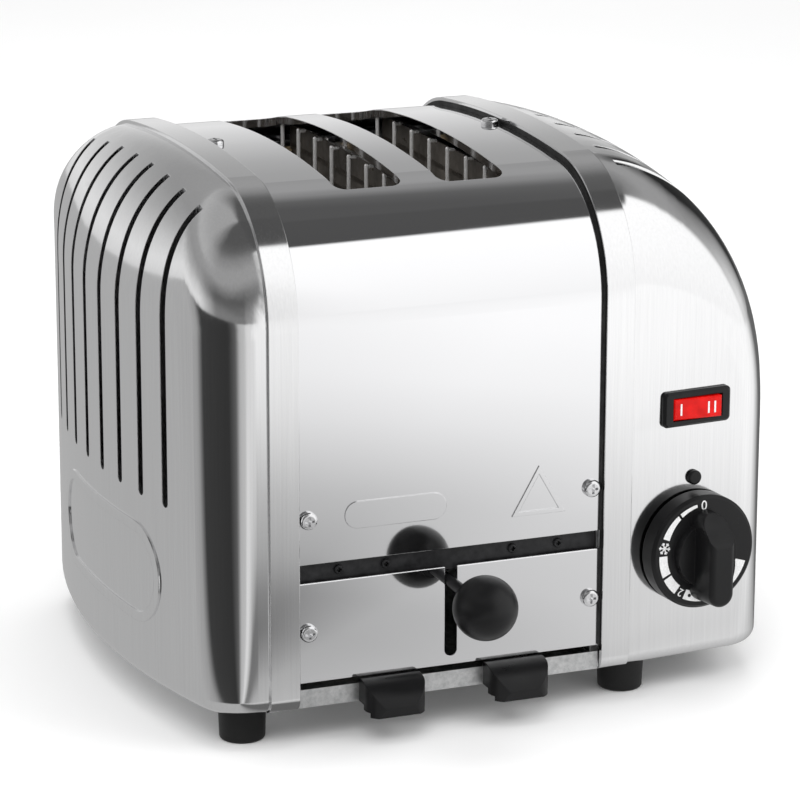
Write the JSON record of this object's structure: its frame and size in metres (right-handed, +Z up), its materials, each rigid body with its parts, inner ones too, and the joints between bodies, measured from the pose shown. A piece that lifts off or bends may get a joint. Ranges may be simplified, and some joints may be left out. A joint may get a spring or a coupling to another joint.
{
  "type": "pop up toaster",
  "caption": "Two-slot kitchen toaster with vented cast ends, ball-knob lift lever, timer dial, selector rocker and pull-out crumb tray.",
  "frame": {"origin": "middle of the whole object's footprint, on the surface that its feet stand on", "axes": "+X to the user's right along the front, +Y from the front to the back, +Z up"},
  "size_m": [0.2606, 0.2592, 0.2143],
  "materials": {
    "cast_aluminium": "polished, lightly brushed",
    "polished_steel": "mirror polished",
    "galvanised_steel": "matt",
    "black_steel": "satin black",
    "screw_steel": "bright",
    "foot_rubber": "matt",
    "mica": "dull sheet mica",
    "heating_ribbon": "oxidised ribbon",
    "ceramic": "unglazed ceramic",
    "guard_wire": "bright wire",
    "black_plastic": "satin",
    "timer_case": "plain",
    "red_plastic": "gloss, translucent",
    "brass": "plain brass"
  },
  "bodies": {
    "root": {"body_cover": "polished_steel", "cable_gland": "black_plastic", "casting_screws": "screw_steel", "dial_index_stud": "black_plastic", "earth_stud": "screw_steel", "element_centre": "mica", "element_holders_front": "ceramic", "element_holders_rear": "ceramic", "element_insulators": "ceramic", "element_left": "mica", "element_right": "mica", "foot_front_left": "foot_rubber", "foot_front_right": "foot_rubber", "foot_rear_left": "foot_rubber", "foot_rear_right": "foot_rubber", "foot_screws": "screw_steel", "front_inner_plate": "galvanised_steel", "front_lower_panel": "polished_steel", "front_rail": "black_steel", "front_rail_screws": "black_steel", "gland_nut": "black_plastic", "guard_wires_1": "guard_wire", "guard_wires_2": "guard_wire", "guard_wires_3": "guard_wire", "guard_wires_4": "guard_wire", "guide_bracket": "galvanised_steel", "guide_rods": "screw_steel", "joint_seals": "foot_rubber", "left_base_plate": "galvanised_steel", "left_end_casting": "cast_aluminium", "left_side_plate": "galvanised_steel", "lever_shaft": "screw_steel", "panel_screws": "screw_steel", "rear_inner_plate": "galvanised_steel", "rear_rail": "galvanised_steel", "right_base_plate": "galvanised_steel", "right_end_casting": "cast_aluminium", "right_side_plate": "galvanised_steel", "switch_housing": "black_plastic", "switch_pivot": "screw_steel", "switch_terminals": "brass", "terminal_block": "ceramic", "timer_case": "timer_case", "top_screws": "screw_steel", "tray_runner_left": "galvanised_steel", "tray_runner_right": "galvanised_steel", "winding_centre": "heating_ribbon", "winding_left": "heating_ribbon", "winding_right": "heating_ribbon"},
    "eject_lever": {"eject_lever": "black_steel", "lever_knob": "black_plastic"},
    "rack_lift": {"lift_yoke": "galvanised_steel", "bread_rack_left": "galvanised_steel", "bread_rack_right": "galvanised_steel"},
    "crumb_tray": {"crumb_tray": "galvanised_steel", "tray_tab_left": "black_plastic", "tray_tab_right": "black_plastic"},
    "timer_dial": {"timer_dial": "black_plastic", "timer_shaft": "screw_steel"},
    "switch_rocker": {"switch_rocker": "red_plastic"}
  },
  "joints": [
    {"name": "eject_lever_pivot", "type": "hinge", "parent": "root", "child": "eject_lever", "pos_m": [-0.0202, -0.0039, 0.04], "axis": [1, 0, 0], "range_deg": [0, 11]},
    {"name": "rack_lift_slide", "type": "slide", "parent": "root", "child": "rack_lift", "axis": [0, 0, 1], "range_m": [0, 0.0177]},
    {"name": "crumb_tray_slide", "type": "slide", "parent": "root", "child": "crumb_tray", "axis": [0, -1, 0], "range_m": [0, 0.19]},
    {"name": "timer_dial_turn", "type": "hinge", "parent": "root", "child": "timer_dial", "pos_m": [0.0817, -0.08288, 0.0595], "axis": [-0.0838, 0.9965, 0], "range_deg": [0, 240]},
    {"name": "switch_rocker_tilt", "type": "hinge", "parent": "root", "child": "switch_rocker", "pos_m": [0.08149, -0.08038, 0.116], "axis": [0, 0, 1], "range_deg": [0, 10]}
  ],
  "couplings": [
    {"joint": "rack_lift_slide", "follows": "eject_lever_pivot", "m_per_rad": 0.09186}
  ]
}
